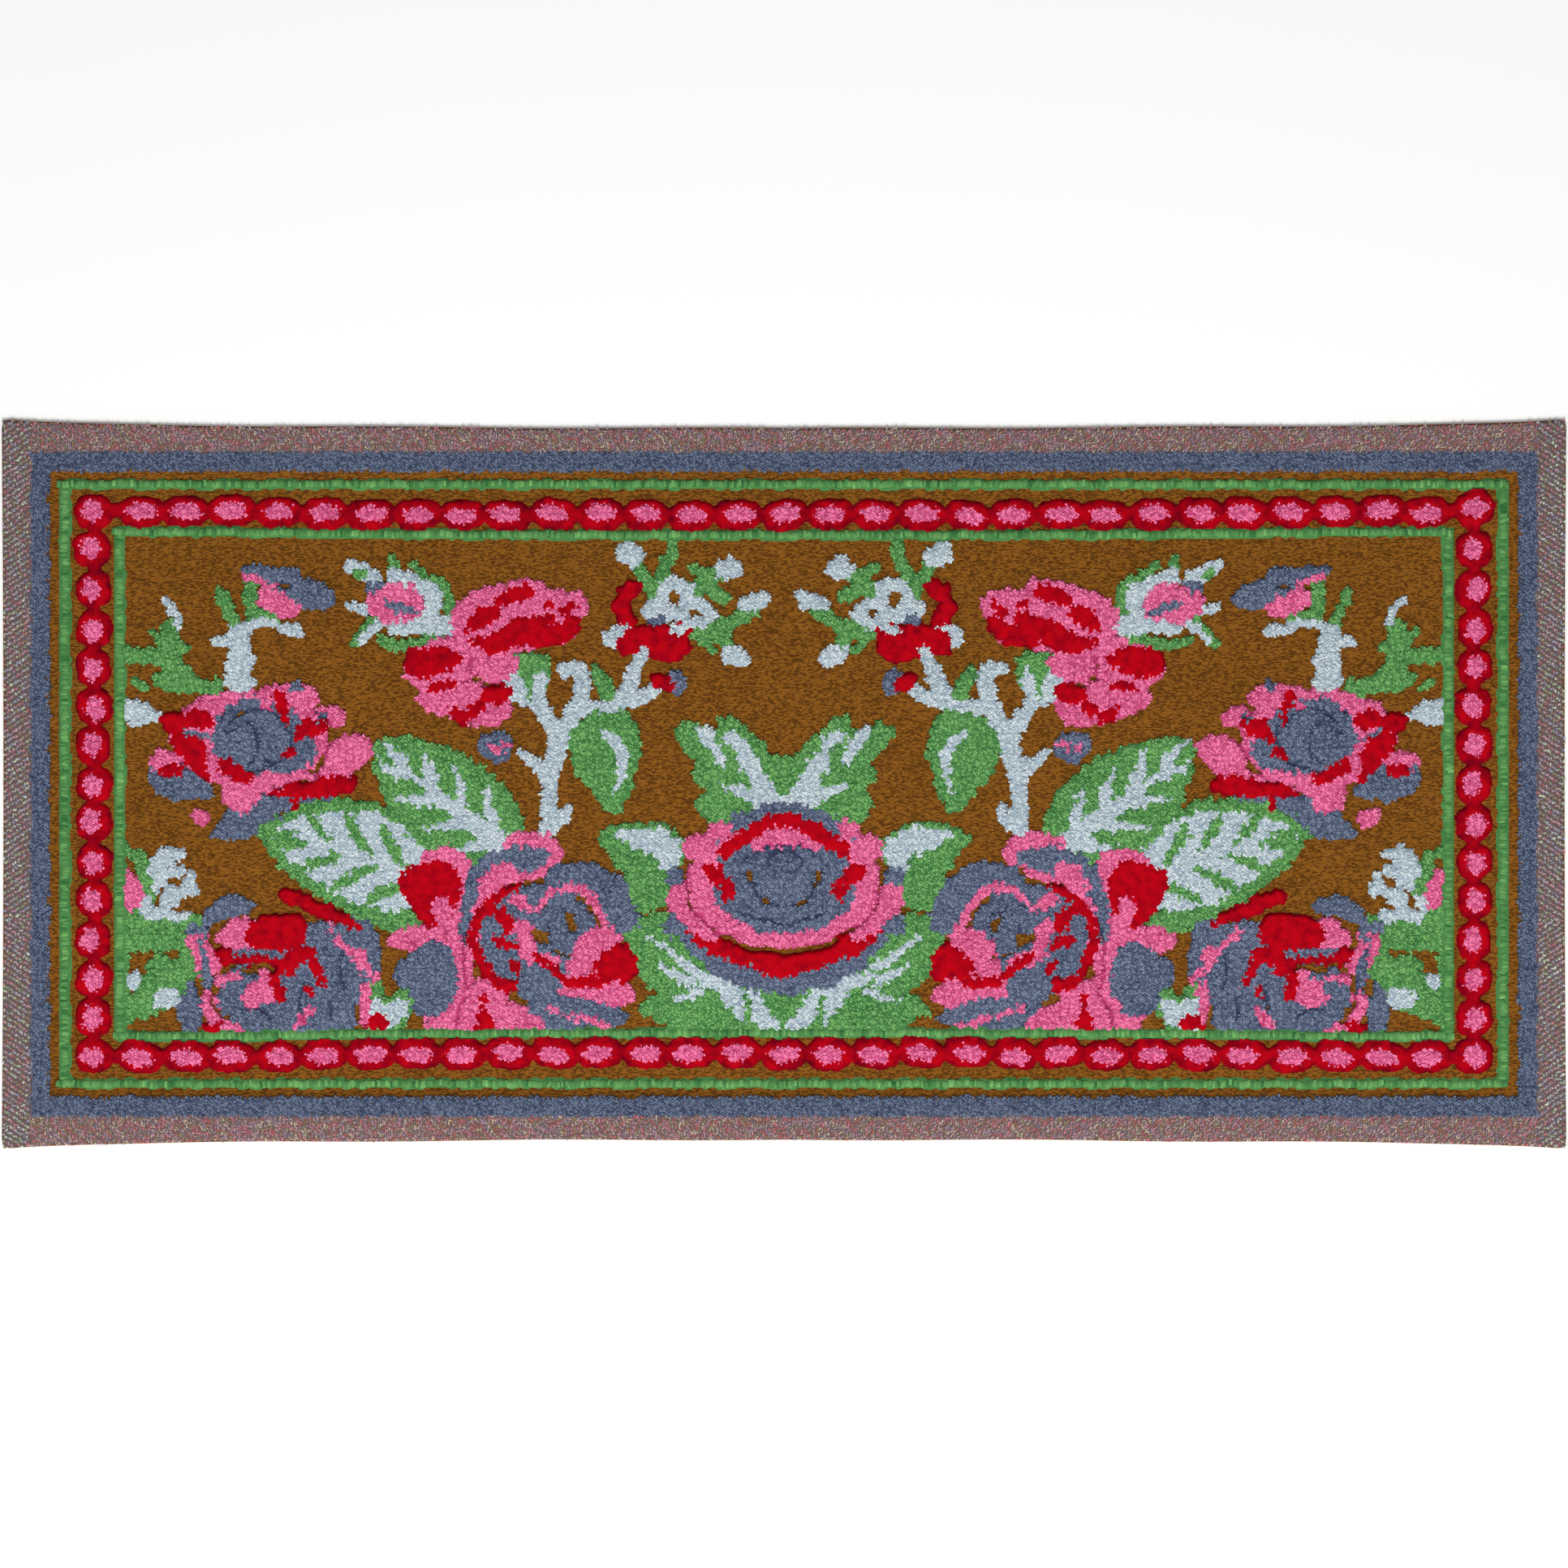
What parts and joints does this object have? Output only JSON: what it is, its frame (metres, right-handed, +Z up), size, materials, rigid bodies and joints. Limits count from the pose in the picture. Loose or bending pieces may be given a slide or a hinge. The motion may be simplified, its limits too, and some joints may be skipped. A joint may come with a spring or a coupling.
{
  "type": "pile rug",
  "caption": "Flat rectangular pile rug, slightly drawn in at the middle of its long edges, with a banded border, bead chain and raised flowers.",
  "frame": {"origin": "middle of the underside, on the floor", "axes": "+X along the rug to its right end in the picture, +Y across it to the edge at the top of the picture, +Z up out of the pile"},
  "size_m": [1.5, 0.699, 0.0086],
  "materials": {
    "ground_weave": "matte ribbed weave",
    "green_yarn": "looped wool pile",
    "white_yarn": "looped wool pile",
    "pink_yarn": "looped wool pile",
    "slate_yarn": "looped wool pile",
    "red_pile": "velvety cut pile",
    "mixed_yarn": "long flat-lying mixed yarn"
  },
  "bodies": {
    "root": {"rug": "ground_weave"}
  },
  "joints": []
}
